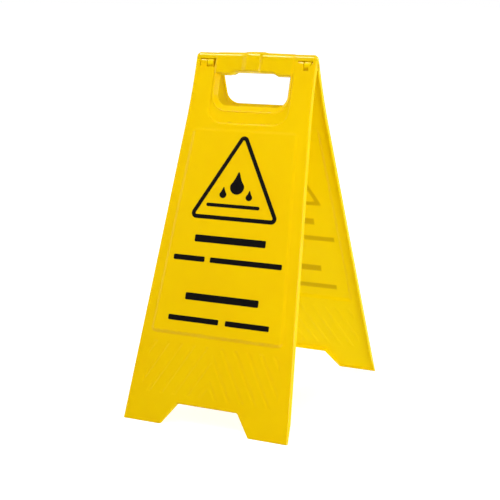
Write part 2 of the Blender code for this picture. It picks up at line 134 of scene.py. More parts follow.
# Grip: half of a bar, with a wider block in its middle and ribs inside
GRIP_PROUD = 1.2 * MM
GRIP_TOP = 19.3 * MM
GRIP_CROWN = 0.9 * MM
GRIP_BOTTOM = 21 * MM
GRIP_BOTTOM_MIDDLE = 16.3 * MM
GRIP_RADIUS = 10 * MM
GRIP_LOWER_RADIUS = 4 * MM
GRIP_SHELL = 2.5 * MM
GRIP_RELIEF = (33 * MM, 45 * MM)
GRIP_BLOCK_LEFT = (11 * MM, 24 * MM)
GRIP_BLOCK_RIGHT = (10 * MM, 14.5 * MM)
GRIP_END = (69 * MM, 72.5 * MM)
GRIP_BLOCK_PROUD = 4.2 * MM
GRIP_RIBS = (-33 * MM, 0, 33 * MM)
RIB_HALF = 1.1 * MM
GRIP_STEP = 8 * MM                         # widest gap between sections of the grip
GRIP_CLEAR = 0.2 * MM                      # keeps the front of the bar out of the plane of the face

# Hinge
KNUCKLE_RADIUS = 9.3 * MM
EAR_RADIUS = 7.5 * MM
HINGE_CLEARANCE = 0.4 * MM
FORK_INNER = (77.6 * MM, 88.8 * MM)
FORK_OUTER = (102.2 * MM, 110 * MM)
TONGUE = (89.4 * MM, 101.6 * MM)
FORK_WEB = (-12 * MM, 1 * MM)
TONGUE_WEB = (-18 * MM, -4 * MM)
KNUCKLE_EASE = 0.6 * MM
# Windows in the face at the knuckles: span along the hinge, and span up the panel from it
HINGE_WINDOWS = (
    ((-102.4 * MM, -72.8 * MM), (-9 * MM, 5.5 * MM)),
    ((78.5 * MM, 89 * MM), (1.5 * MM, 5.5 * MM)),
    ((88.9 * MM, 98.2 * MM), (-11 * MM, 5.5 * MM)),
    ((98.1 * MM, 105 * MM), (-3.5 * MM, 5 * MM)),
)
WINDOW_PAST = 0.5 * MM                     # how far the windows are cut past the sheet
BORE_START = 75 * MM

# Pins
PIN_RADIUS = 2.5 * MM
PIN_HEAD_RADIUS = 4 * MM
PIN_HEAD = 1.8 * MM
PIN_SPAN = (76.5 * MM, 109.4 * MM)
PIN_GAP = 0.3 * MM
# Rounding of a pin, in millimetres: distance from its tip, shoulder or end, and loss of radius there
PIN_TIP = ((0, 0.9), (0.25, 0.4), (0.9, 0))
PIN_SHOULDER = ((0, 0.3), (0.3, 0))
PIN_CROWN = ((0.9, 0), (0.35, 0.35), (0, 1.1))
PIN_DIMPLE = ((0, 1.6), (0.4, 1.2))        # depth and radius of the dimple in the head

# Reach of the cutting shapes
PAST_HEAD = 130 * MM                       # half width of a cut right across the head
PAST_FEET = 200 * MM                       # half width of a cut right across the feet

# Printed graphics, on the raised face
INK_PROUD = 0.08 * MM
INK_SUNK = 0.1 * MM
PRINT_SHIFT = 2 * MM
TRIANGLE_UP = (347.5 * MM, 500.6 * MM)     # base and sharp apex
TRIANGLE_HALF = 84 * MM
TRIANGLE_CORNER = 9 * MM
TRIANGLE_STROKE = 7 * MM
# Drops: middle x, height and radius. Bars: left, right, middle height, thickness and corner. In millimetres
PRINTED_DROPS = ((-1, 405, 13), (-25, 391, 6.5), (23, 389, 6))
DROP_TIP = (0.95, 5)                       # length of the tip in radii, and how sharply it rises
DROP_TAPER = (0.42, 1.5)                   # loss of width at the tip, and how sharply it sets in
PRINTED_BARS = (
    (-53, 45, 372, 6, 2.9),
    (-65, 65, 314, 12, 2),
    (-99.5, -41.5, 279.5, 9, 2),
    (-31.5, 99, 279.5, 9, 2),
    (-67, 67, 216, 12, 2),
    (-93, 0, 178, 9, 2),
    (12.5, 91.5, 178, 9, 2),
)

# Painted shadow that the print on the outside casts on the inside, in light let through the wall
PRINT_SHADOW_TINT = (0.76, 0.74, 0.85, 1)       # tint
PRINT_SHADOW_BLUR = 1.6 * MM
PRINT_SHADOW_DROP = (0.25, 0.75, 1.1)      # rise of the middle, half width and half height, in radii

# Plastics: plain colour, colour in deeper clouds, and colour of the inner side. The yellow's lighter,
# greener inner colour is painted light, standing for light let through the thin wall
YELLOW = ((0.90, 0.57, 0.001, 1), (0.87, 0.54, 0.001, 1), (0.96, 0.66, 0.001, 1))
PIN_YELLOW = ((0.88, 0.53, 0.002, 1), (0.84, 0.49, 0.002, 1), (0.88, 0.53, 0.002, 1))
YELLOW_ROUGHNESS = 0.18
PIN_ROUGHNESS = 0.42
ROUGHNESS_SPREAD = (-0.05, 0.07)
GLOSS = (0.18, 0.06)                       # specular level of the outer side and of the inner side
SPECK = (0.62, 0.36, 0.005, 1)
SPECK_STRENGTH = 0.10
CLOUD_SCALE = 9
SPECK_SCALE = 900
SHEEN_SCALE = 35
GRAIN = (1500, 0.07, 0.0003)               # scale, strength and height of the fine relief
RIPPLE = (60, 0.05, 0.002)                 # the same of the slow relief
SCATTER = 0.45                             # share of light that spreads inside the plastic
SCATTER_REACH = 0.008
SCATTER_COLOURS = (1.0, 0.95, 0.04)

# Ink: two blacks, mixed by the unevenness of its coat
INK = ((0.003, 0.002, 0.002, 1), (0.007, 0.006, 0.005, 1))
INK_ROUGHNESS = (0.42, 0.58)
INK_GLOSS = 0.08
INK_COAT = (420, 0.1, 0.0002)              # scale, strength and height of the relief

# Studio
WHITE = (1, 1, 1, 1)
WORLD_LIGHT = (0.06, 0.6)                  # from the front, and from behind
WORLD_TURN = (0.1, 0.7)
FLOOR_SIZE = 30.0
FLOOR_GREY = ((0.54, 0.54, 0.54, 1), (0.56, 0.56, 0.56, 1))
FLOOR_LIGHT = (0.15, 0.35)                 # cast in front of the sign, and behind it
FLOOR_TURN = (-0.25, 0.15)
FLOOR_GLOW = (0.78, 1.05)                  # seen by the camera, near the sign and far from it
FLOOR_REACH = (0.6, 1.8)
# Name, position, aim, size and power
LIGHTS = (
    ("key", (0.3, -1.9, 3.1), (0, 0, 0.3), (1.1, 1.1), 16),
    ("top", (-0.91, -0.75, 2.45), (0, 0, 0.6), (0.8, 0.4), 37),
    ("left_fill", (-2.0, -0.6, 0.9), (0, 0, 0.3), (2.0, 1.6), 8),
    ("right_fill", (2.0, -0.9, 0.6), (0, 0, 0.3), (2.0, 1.2), 35),
    ("back", (0.4, 2.2, 1.2), (0, 0, 0.3), (1.6, 1.6), 31),
)

# Camera
LENS = 87.57
SENSOR_WIDTH = 36
CAMERA_AT = (0.8695, -1.8716, 0.7184)
CAMERA_AIM = (-0.0129, 0, 0.2594)


# Outlines: closed lists of corners, anticlockwise as seen from the face


def smooth(t):
    """0 to 1 with a level start and end."""
    t = min(max(t, 0), 1)
    return t * t * (3 - 2 * t)


def side_half(up):
    """Half width of the panel at a height, without the slow curve below its head."""
    return max(BASE_HALF - SIDE_SLOPE * up, HEAD_HALF)


def outline_ring(corners, insets):
    """The outline moved inwards by one inset per edge. Edge i runs from corner i to the next.

    A corner is (x, up, radius, points). Convex corners get tighter as they move in, and hollow ones
    get wider, so that the rings stay a constant distance apart.
    """
    count = len(corners)
    lines = []
    for i in range(count):
        start = Vector(corners[i][:2])
        along = (Vector(corners[(i + 1) % count][:2]) - start).normalized()
        inward = Vector((-along.y, along.x))
        lines.append((start + inward * insets[i], along))
    ring = []
    for i in range(count):
        (here, along), (before, along_before) = lines[i], lines[i - 1]
        turn = along_before.cross(along)
        corner = before + along_before * ((here - before).cross(along) / turn)
        mean = (insets[i] + insets[i - 1]) / 2
        radius = corners[i][2] + (-mean if turn > 0 else mean)
        ring += corner_arc(corner, along_before, along, max(radius, TIGHTEST_CORNER), corners[i][3])
    return ring


def corner_arc(corner, along_before, along, radius, points):
    """Points round one rounded corner, from the edge before it to the edge after it."""
    angle = acos(max(-1.0, min(1.0, along_before.dot(along))))
    reach = radius * tan(angle / 2)
    start = corner - along_before * reach
    side = 1 if along_before.cross(along) > 0 else -1
    centre = start + Vector((-along_before.y, along_before.x)) * side * radius
    arc = []
    for step in range(points):
        swing = side * angle * step / (points - 1)
        arc.append(centre + Matrix.Rotation(swing, 2) @ (start - centre))
    return arc


def even(corners, inset):
    """The outline moved inwards by the same inset all round."""
    return outline_ring(corners, [inset] * len(corners))


def trapezoid(up, half, radius, points):
    """Corners of a symmetric outline. Each of its two heights has a half width and a corner radius."""
    return [
        (-half[0], up[0], radius[0], points),
        (half[0], up[0], radius[0], points),
        (half[1], up[1], radius[1], points),
        (-half[1], up[1], radius[1], points),
    ]


def clip(polygon, normal, limit):
    """Keeps the part of a polygon where the point's dot product with normal is at most limit."""
    kept = []
    for i, point in enumerate(polygon):
        following = polygon[(i + 1) % len(polygon)]
        here = point.dot(normal) - limit
        there = following.dot(normal) - limit
        if here <= 0:
            kept.append(point)
        if here * there < 0:
            kept.append(point.lerp(following, here / (here - there)))
    return kept


def chevron_outlines():
    """One outline for each chevron that crosses the middle, and two for each that doesn't."""
    low, high = FIELD_UP
    field = [
        Vector((0, low)),
        Vector((side_half(low) - FIELD_MARGIN, low)),
        Vector((side_half(high) - FIELD_MARGIN, high)),
        Vector((0, high)),
    ]
    across = Vector((cos(GROOVE_ANGLE), sin(GROOVE_ANGLE)))
    outlines = []
    for number in range(GROOVE_COUNT):
        middle = GROOVE_FIRST + number * GROOVE_PITCH
        band = clip(field, across, middle + GROOVE_WIDTH / 2)
        band = clip(band, -across, GROOVE_WIDTH / 2 - middle)
        on_axis = sorted((p for p in band if p.x <= ON_AXIS), key=lambda p: p.y)
        start = min(range(len(band)), key=lambda i: (band[i].x > ON_AXIS, band[i].y))
        turned = band[start:] + band[:start]
        right = [p for p in turned if p.x > ON_AXIS]
        mirrored = [Vector((-p.x, p.y)) for p in reversed(right)]
        if on_axis:
            outlines.append([on_axis[0]] + right + [on_axis[-1]] + mirrored)
        else:
            outlines += [right, mirrored]
    return [[(p.x, p.y, GROOVE_CORNER, 5) for p in outline] for outline in outlines]


def face_proud(up):
    """How far the sign face stands out of the panel, at a height."""
    share = (up - FACE_UP[0]) / (FACE_UP[1] - FACE_UP[0])
    return FACE_PROUD[0] + (FACE_PROUD[1] - FACE_PROUD[0]) * min(max(share, 0), 1)


# Mesh building


def add_ring(mesh, points, depth):
    """Vertices at points (x, height). The depth behind the face is a number or a function of the height."""
    ring = []
    for x, up in points:
        behind = depth(up) if callable(depth) else depth
        ring.append(mesh.verts.new((x, behind - HINGE_DEPTH, up - HINGE_UP)))
    return ring


def join_rings(mesh, rings):
    """Bands of faces from each ring to the next."""
    for one, other in zip(rings, rings[1:]):
        for i in range(len(one)):
            j = (i + 1) % len(one)
            mesh.faces.new((one[i], one[j], other[j], other[i]))


def fill_between(mesh, rings):
    """Fills the flat area inside the first ring and outside the others."""
    edges = []
    for ring in rings:
        for i in range(len(ring)):
            pair = (ring[i], ring[(i + 1) % len(ring)])
            edges.append(mesh.edges.get(pair) or mesh.edges.new(pair))
    bmesh.ops.triangle_fill(mesh, use_beauty=True, edges=edges)


def finish(mesh, name):
    """Turns the mesh into an object in the scene."""
    bmesh.ops.recalc_face_normals(mesh, faces=mesh.faces)
    data = bpy.data.meshes.new(name)
    mesh.to_mesh(data)
    mesh.free()
    item = bpy.data.objects.new(name, data)
    bpy.context.scene.collection.objects.link(item)
    return item


def combine(target, tool, operation):
    """Applies one Boolean to the target and removes the tool."""
    modifier = target.modifiers.new(operation.lower(), "BOOLEAN")
    modifier.operation = operation
    modifier.solver = "EXACT"
    modifier.object = tool
    bpy.context.view_layer.update()
    evaluated = target.evaluated_get(bpy.context.evaluated_depsgraph_get())
    result = bpy.data.meshes.new_from_object(evaluated)
    target.modifiers.clear()
    target.data = result
    bpy.data.objects.remove(tool, do_unlink=True)


def prism(name, profile, span):
    """A solid with the same section all along X. The profile holds (y, z) points."""
    mesh = bmesh.new()
    ends = [[mesh.verts.new((x, y, z)) for y, z in profile] for x in span]
    join_rings(mesh, ends)
    for end in ends:
        mesh.faces.new(end)
    return finish(mesh, name)


def lathe(name, profile, segments=64):
    """A solid of revolution about the hinge axis. The profile holds (x, radius) points."""
    turn = [2 * pi * (i + 0.5) / segments for i in range(segments)]
    mesh = bmesh.new()
    rings = []
    for x, radius in profile:
        rings.append([mesh.verts.new((x, radius * cos(a), radius * sin(a))) for a in turn])
    join_rings(mesh, rings)
    mesh.faces.new(rings[0])
    mesh.faces.new(rings[-1])
    return finish(mesh, name)


def disc(name, radius, span):
    """A cylinder on the hinge axis."""
    return lathe(name, [(span[0], radius), (span[1], radius)])


def eased_disc(name, radius, span):
    """A cylinder on the hinge axis with rounded rims."""
    profile = []
    for turn in (0, 30, 60, 90):
        a = radians(turn)
        x = span[0] + KNUCKLE_EASE * (1 - sin(a))
        profile.append((x, radius - KNUCKLE_EASE * (1 - cos(a))))
    profile.sort()
    profile += [(span[0] + span[1] - x, r) for x, r in reversed(profile)]
    return lathe(name, profile)


def block(name, span, y, z):
    return prism(name, [(y[0], z[0]), (y[1], z[0]), (y[1], z[1]), (y[0], z[1])], span)


# Panel shell


def panel_outline():
    """Corners of the panel and, for each edge, the radius of its fillet and the thickness of its flange."""
    base_up = -SOLE_SPARE
    base = side_half(base_up)
    lean = (NOTCH_HALF_BOTTOM - NOTCH_HALF_TOP) / NOTCH_UP
    notch = NOTCH_HALF_BOTTOM - lean * base_up
    curve_up = (BASE_HALF - HEAD_HALF) / SIDE_SLOPE
    right = [
        (NOTCH_HALF_TOP, NOTCH_UP, NOTCH_CORNER, 8, SIDE_FILLET),
        (notch, base_up, FOOT_CORNER, 6, SIDE_FILLET / 2),
        (base, base_up, FOOT_CORNER, 6, SIDE_FILLET),
        (HEAD_HALF, curve_up, SIDE_RADIUS, 20, SIDE_FILLET),
        (HEAD_HALF, HEAD_UP, HEAD_CORNER, 14, HEAD_FILLET),
    ]
    left = []
    for i, (x, up, radius, points, _) in enumerate(reversed(right)):
        following = right[len(right) - 2 - i][4] if i + 1 < len(right) else SIDE_FILLET
        left.append((-x, up, radius, points, following))
    both = right + left
    walls = []
    for i, corner in enumerate(both):
        stands = corner[1] == base_up == both[(i + 1) % len(both)][1]
        walls.append(FOOT_WALL if stands else WALL)
    return [corner[:4] for corner in both], [corner[4] for corner in both], walls


def shell_rings(mesh):
    """Rings round the edge of the panel, from the flat face, over the flange and back to the inner face."""
    corners, fillets, walls = panel_outline()
    outer, inner = [], []
    for turn in range(0, 91, 10):
        gone, left = 1 - sin(radians(turn)), 1 - cos(radians(turn))
        points = outline_ring(corners, [r * gone for r in fillets])
        outer.append(edge_ring(mesh, corners, points, [r * left for r in fillets]))
    rim = rim_rings(mesh, corners, walls)
    bends = [max(r - WALL, 1 * MM) for r in fillets]
    for turn in range(90, -1, -15):
        gone, left = 1 - sin(radians(turn)), 1 - cos(radians(turn))
        points = outline_ring(corners, [wall + r * gone for wall, r in zip(walls, bends)])
        inner.append(edge_ring(mesh, corners, points, [WALL + r * left for r in bends]))
    rings = outer + rim + inner
    join_rings(mesh, rings)
    return rings[0], rings[-1]


def rim_rings(mesh, corners, walls):
    """The eased rim of the flange, from its outer side round to its inner side."""
    rings = []
    for inset, short in RIM_SECTION:
        points = even(corners, inset * RIM_EASE - SKIRT_DRAFT)
        rings.append(add_ring(mesh, points, SKIRT_DEPTH - short * RIM_EASE))
    for inset, short in reversed(RIM_SECTION):
        points = outline_ring(corners, [wall - inset * RIM_EASE for wall in walls])
        rings.append(add_ring(mesh, points, SKIRT_DEPTH - short * RIM_EASE))
    return rings


def edge_ring(mesh, corners, points, depths):
    """A ring whose depth is given for each edge and changes evenly round each corner."""
    ring = []
    index = 0
    for i, corner in enumerate(corners):
        for step in range(corner[3]):
            share = step / (corner[3] - 1)
            depth = depths[i - 1] + (depths[i] - depths[i - 1]) * share
            x, up = points[index]
            ring.append(mesh.verts.new((x, depth - HINGE_DEPTH, up - HINGE_UP)))
            index += 1
    return ring


def face_rings(mesh):
    """The raised sign face on the outside, and the hollow behind it on the inside."""
    corners = trapezoid(FACE_UP, FACE_HALF, (FACE_CORNER,) * 2, 12)
    outer = []
    inner = []
    steps = 8
    for step in range(steps + 1):
        inset = step / steps
        rise = smooth(inset)
        points = even(corners, inset * FACE_EASE)
        outer.append(add_ring(mesh, points, lambda up, rise=rise: -rise * face_proud(up)))
        points = even(corners, WALL / 2 + inset * FACE_EASE)
        inner.append(add_ring(mesh, points, lambda up, rise=rise: WALL - rise * face_proud(up)))
    join_rings(mesh, outer)
    join_rings(mesh, inner)
    mesh.faces.new(outer[-1])
    mesh.faces.new(inner[-1])
    return outer[0], inner[0]


def below(depth, share=1.0):
    """Depth below the floor of the pocket, which runs out towards the top of the opening."""
    full = POCKET_DEPTH * share
    fade = POCKET_FADE[1] - POCKET_FADE[0]
    return lambda up: depth + full * min(max((POCKET_FADE[1] - up) / fade, 0), 1)


def opening_rings(mesh):
    """The pocket, the lip and the wall of the hand opening, from the face through to the inner face."""
    pocket = trapezoid(POCKET_UP, (POCKET_HALF,) * 2, POCKET_CORNER, OPENING_POINTS)
    hole = trapezoid(OPENING_UP, (OPENING_HALF,) * 2, OPENING_CORNER, OPENING_POINTS)
    rings = pocket_rings(mesh, pocket)
    rings += lip_rings(mesh, hole)
    rings += wall_rings(mesh, hole)
    rings += [
        add_ring(mesh, even(pocket, 0.6 * MM), below(WALL)),
        add_ring(mesh, even(pocket, -0.8 * MM), below(WALL, 0.6)),
        add_ring(mesh, even(pocket, -2.2 * MM), WALL),
    ]
    join_rings(mesh, rings)
    return rings[0], rings[-1]


def narrowed(hole, share, wider):
    """The opening's outline after a share of its draft, moved outwards by a distance."""
    return outline_ring(hole, [share * draft - wider for draft in OPENING_DRAFT])


def pocket_rings(mesh, pocket):
    """The soft step from the face down to the floor of the pocket."""
    rings = []
    for step in range(7):
        share = step / 6
        points = even(pocket, (share - 0.5) * POCKET_STEP)
        rings.append(add_ring(mesh, points, below(0, smooth(share))))
    return rings


def lip_rings(mesh, hole):
    rings = []
    for wider, depth, rise in LIP_SECTION:
        points = narrowed(hole, 0, wider * MM)
        rings.append(add_ring(mesh, points, below(depth * MM - rise * LIP_PROUD)))
    return rings


def wall_rings(mesh, hole):
    """The wall of the opening, from the foot of the lip to its rim and back to the floor of the pocket."""
    rings = [add_ring(mesh, narrowed(hole, 0.04, 0), below(1.6 * MM))]
    for share, wider, short in OPENING_RIM:
        rings.append(add_ring(mesh, narrowed(hole, share, wider * MM), SKIRT_DEPTH - short * MM))
    rings.append(add_ring(mesh, narrowed(hole, 0.95, 1.3 * WALL), SKIRT_DEPTH))
    for share, walls, depth in OPENING_BACK:
        rings.append(add_ring(mesh, narrowed(hole, share, walls * WALL), below(WALL + depth * MM)))
    return rings


def groove_rings(mesh):
    """The chevrons: hollows on the outside, and matching ridges on the inside."""
    outer = []
    inner = []
    ease = (GROOVE_WIDTH - GROOVE_FLOOR) / 2
    steps = 5
    for corners in chevron_outlines():
        hollow = []
        ridge = []
        for step in range(steps + 1):
            share = step / steps
            depth = GROOVE_DEPTH * smooth(share)
            points = even(corners, share * ease)
            hollow.append(add_ring(mesh, points, depth))
            ridge.append(add_ring(mesh, points, WALL + depth))
        join_rings(mesh, hollow)
        join_rings(mesh, ridge)
        fill_between(mesh, [hollow[-1]])
        fill_between(mesh, [ridge[-1]])
        outer.append(hollow[0])
        inner.append(ridge[0])
    return outer, inner


def panel_shell():
    """The sheet with its flange, sign face, hand opening and chevrons."""
    mesh = bmesh.new()
    face_edge, back_edge = shell_rings(mesh)
    sign_outer, sign_inner = face_rings(mesh)
    pocket_outer, pocket_inner = opening_rings(mesh)
    grooves_outer, grooves_inner = groove_rings(mesh)
    fill_between(mesh, [face_edge, sign_outer, pocket_outer] + grooves_outer)
    fill_between(mesh, [back_edge, sign_inner, pocket_inner] + grooves_inner)
    return finish(mesh, "panel")


# Grip


def plateau(x, edge):
    """1 up to the start of the edge, 0 past its end, and a soft slope between."""
    start, end = edge
    return smooth((end - abs(x)) / (end - start))


def grip_section(x, inset):
    """Outline (y, z) of the grip at a place along it. It runs past the hinge plane, which trims it."""
    block_edge = GRIP_BLOCK_LEFT if x < 0 else GRIP_BLOCK_RIGHT
    proud = GRIP_PROUD * plateau(x, GRIP_END) + GRIP_BLOCK_PROUD * plateau(x, block_edge)
    top = GRIP_TOP - GRIP_CROWN * (x / GRIP_END[1]) ** 2
    bottom = -GRIP_BOTTOM + (GRIP_BOTTOM - GRIP_BOTTOM_MIDDLE) * plateau(x, GRIP_RELIEF)
    front = inset - HINGE_DEPTH - GRIP_CLEAR - proud
    top -= inset
    bottom += inset
    upper = GRIP_RADIUS - inset
    lower = GRIP_LOWER_RADIUS - inset
    points = [(HINGE_DEPTH if inset else -PLAY, bottom)]
    for turn in range(90, -1, -15):
        a = radians(turn)
        points.append((front + lower * (1 - cos(a)), bottom + lower * (1 - sin(a))))
    for turn in range(0, 91, 9):
        a = radians(turn)
        points.append((front + upper * (1 - cos(a)), top - upper * (1 - sin(a))))
    points.append((HINGE_DEPTH, top))
    points.append((HINGE_DEPTH, 0) if inset else (-PLAY, 0))
    return points


def grip_loft(name, start, end, inset):
    """A length of the grip, with closer sections where its shape changes."""
    places = {start, end}
    for edge in (GRIP_END, GRIP_RELIEF, GRIP_BLOCK_LEFT, GRIP_BLOCK_RIGHT):
        for step in range(9):
            away = edge[0] + (edge[1] - edge[0]) * step / 8
            places.update(x for x in (-away, away) if start < x < end)
    crown = ceil((end - start) / GRIP_STEP)
    places.update(start + (end - start) * i / crown for i in range(1, crown))
    mesh = bmesh.new()
    rings = []
    for x in sorted(places):
        rings.append([mesh.verts.new((x, y, z)) for y, z in grip_section(x, inset)])
    join_rings(mesh, rings)
    mesh.faces.new(rings[0])
    mesh.faces.new(rings[-1])
    return finish(mesh, name)


def add_grip(panel):
    """Adds this panel's half of the bar and hollows it out between its ribs."""
    combine(panel, grip_loft("grip", -GRIP_END[1], GRIP_END[1], 0), "UNION")
    stops = [-OPENING_HALF + RIB_HALF, *GRIP_RIBS, OPENING_HALF - RIB_HALF]
    for left, right in zip(stops, stops[1:]):
        hollow = grip_loft("hollow", left + RIB_HALF, right - RIB_HALF, GRIP_SHELL)
        combine(panel, hollow, "DIFFERENCE")


# Hinge and stop


def cut_windows(panel):
    """Openings in the face that show the knuckles and let the mould form the fork."""
    depth = (-2 * HINGE_DEPTH, WALL + WINDOW_PAST - HINGE_DEPTH)
    for span, height in HINGE_WINDOWS:
        combine(panel, block("window", span, depth, height), "DIFFERENCE")


def trim_at_stop(panel):
    """Cuts the bar along the plane where the two panels meet when the sign is fully open."""
    high, far = 60 * MM, 30 * MM
    leaning = (-PLAY - high * sin(TILT)) / cos(TILT)
    profile = [
        (-PLAY, -40 * MM),
        (far, -40 * MM),
        (far, high),
        (leaning, high),
        (-PLAY, 0),
    ]
    combine(panel, prism("stop", profile, (-PAST_HEAD, PAST_HEAD)), "DIFFERENCE")


def trim_feet(panel):
    """Makes the flange shallow at the floor, and the soles of the feet flat on it."""
    floor = [(-40 * MM, 0), (40 * MM, 0), (40 * MM, -30 * MM), (-40 * MM, -30 * MM)]
    sole = []
    for y, z in floor:
        forward = y * cos(TILT) - z * sin(TILT)
        upward = y * sin(TILT) + z * cos(TILT)
        sole.append((forward - HINGE_DEPTH, upward - HINGE_UP))
    taper = [
        (FOOT_DEPTH - HINGE_DEPTH, -HINGE_UP),
        (SKIRT_DEPTH + 0.1 * MM - HINGE_DEPTH, FOOT_TAPER - HINGE_UP),
        (4 * HINGE_DEPTH, FOOT_TAPER - HINGE_UP),
        (4 * HINGE_DEPTH, -20 * MM - HINGE_UP),
        (FOOT_DEPTH - HINGE_DEPTH, -20 * MM - HINGE_UP),
    ]
    combine(panel, prism("taper", taper, (-PAST_FEET, PAST_FEET)), "DIFFERENCE")
    combine(panel, prism("sole", sole, (-PAST_FEET, PAST_FEET)), "DIFFERENCE")


def add_hinge(panel):
    """Clears the other panel's knuckles, then adds this panel's own, then bores them for the pins."""
    gap = HINGE_CLEARANCE
    cleared = [
        (EAR_RADIUS, (-FORK_OUTER[1] - 3 * MM, gap - FORK_OUTER[0])),
        (KNUCKLE_RADIUS, (-FORK_INNER[1] - gap, gap - FORK_INNER[0])),
        (KNUCKLE_RADIUS, (TONGUE[0] - gap, TONGUE[1] + gap)),
    ]
    for radius, span in cleared:
        combine(panel, disc("clearance", radius + gap, span), "DIFFERENCE")
    knuckles = [
        (KNUCKLE_RADIUS, FORK_INNER, FORK_WEB),
        (EAR_RADIUS, FORK_OUTER, FORK_WEB),
        (KNUCKLE_RADIUS, (-TONGUE[1], -TONGUE[0]), TONGUE_WEB),
    ]
    for radius, span, web in knuckles:
        combine(panel, eased_disc("knuckle", radius, span), "UNION")
        combine(panel, block("web", span, (WALL / 2 - HINGE_DEPTH, 0), web), "UNION")
    bore = PIN_RADIUS + PIN_GAP
    combine(panel, disc("bore", bore, (-PAST_HEAD, -BORE_START)), "DIFFERENCE")
    combine(panel, disc("bore", bore, (BORE_START, PAST_HEAD)), "DIFFERENCE")
    seat = (PIN_SPAN[1] - PIN_HEAD - PIN_GAP, PAST_HEAD)
    combine(panel, disc("seat", PIN_HEAD_RADIUS + PIN_GAP, seat), "DIFFERENCE")


def moulded_panel():
    """One whole panel in its own frame. Points closer than 5 micrometres are merged."""
    tiny = 0.005 * MM
    panel = panel_shell()
    add_grip(panel)
    cut_windows(panel)
    trim_at_stop(panel)
    trim_feet(panel)
    add_hinge(panel)
    mesh = bmesh.new()
    mesh.from_mesh(panel.data)
    bmesh.ops.remove_doubles(mesh, verts=mesh.verts, dist=tiny)
    bmesh.ops.dissolve_degenerate(mesh, edges=mesh.edges, dist=tiny)
    mesh.to_mesh(panel.data)
    mesh.free()
    remember_places(panel.data)
    return panel


def remember_places(data):
    """Stores each point's place in the panel's own frame, and whether it faces inwards, for the plastic."""
    data.attributes.new("panel_place", "FLOAT_VECTOR", "POINT")
    data.attributes.new("inner_side", "FLOAT", "POINT")
    places = data.attributes["panel_place"].data
    sides = data.attributes["inner_side"].data
    for vertex, point, side in zip(data.vertices, places, sides):
        point.vector = vertex.co + Vector((0, HINGE_DEPTH, HINGE_UP))
        side.value = smooth(1 + 2 * vertex.normal.y)


def hinge_pin(name):
    """A headed pin with rounded ends, its head at the outer end."""
    start, end = PIN_SPAN
    shoulder = end - PIN_HEAD
    profile = [(start + x * MM, PIN_RADIUS - slimmer * MM) for x, slimmer in PIN_TIP]
    profile.append((shoulder, PIN_RADIUS))
    profile += [(shoulder + x * MM, PIN_HEAD_RADIUS - slimmer * MM) for x, slimmer in PIN_SHOULDER]
    profile += [(end - x * MM, PIN_HEAD_RADIUS - slimmer * MM) for x, slimmer in PIN_CROWN]
    profile += [(end - x * MM, radius * MM) for x, radius in PIN_DIMPLE]
    return lathe(name, profile, 48)


# Printed graphics


def film(name, shapes):
    """Ink on the sign face. A shape is (outer ring, inner ring or None), each a list of (x, up)."""
    mesh = bmesh.new()
    for outer, inner in shapes:
        top = [ink_ring(mesh, ring, -INK_PROUD) for ring in (outer, inner) if ring]
        under = [ink_ring(mesh, ring, INK_SUNK) for ring in (outer, inner) if ring]
        for one, other in zip(top, under):
            join_rings(mesh, [one, other])
        if inner:
            join_rings(mesh, top)
            join_rings(mesh, under)
        else:
            mesh.faces.new(top[0])
            mesh.faces.new(under[0])
    return finish(mesh, name)


def ink_ring(mesh, points, depth):
    """A ring at a depth below the surface of the sign face."""
    points = [(x + PRINT_SHIFT, up) for x, up in points]
    return add_ring(mesh, points, lambda up: depth - face_proud(up))


def bar(left, right, middle, thick, radius):
    """A plain bar with rounded corners, in millimetres along the face."""
    half = thick / 2
    corners = [(left, middle - half), (right, middle - half), (right, middle + half), (left, middle + half)]
    return even([(x * MM, up * MM, radius * MM, 8) for x, up in corners], 0), None


def drop(x, middle, size):
    """A water drop: a round foot and a pointed top."""
    ring = []
    count = 40
    for i in range(count):
        a = 2 * pi * i / count - pi / 2
        reach = size * (1 + DROP_TIP[0] * max(sin(a), 0) ** DROP_TIP[1])
        width = size * (1 - DROP_TAPER[0] * max(sin(a), 0) ** DROP_TAPER[1])
        ring.append(((x + width * cos(a)) * MM, (middle + reach * sin(a)) * MM))
    return ring, None


def warning_triangle():
    """A triangular frame with rounded corners."""
    low, high = TRIANGLE_UP
    corners = [(-TRIANGLE_HALF, low), (TRIANGLE_HALF, low), (0, high)]
    corners = [(x, up, TRIANGLE_CORNER, 14) for x, up in corners]
    return even(corners, 0), even(corners, TRIANGLE_STROKE)


def graphics():
    """A plain warning triangle over a wet floor, and plain bars where a sign has its lines of text."""
    shapes = [warning_triangle()]
    shapes += [drop(*size) for size in PRINTED_DROPS]
    shapes += [bar(*size) for size in PRINTED_BARS]
    return film("print", shapes)


# Materials


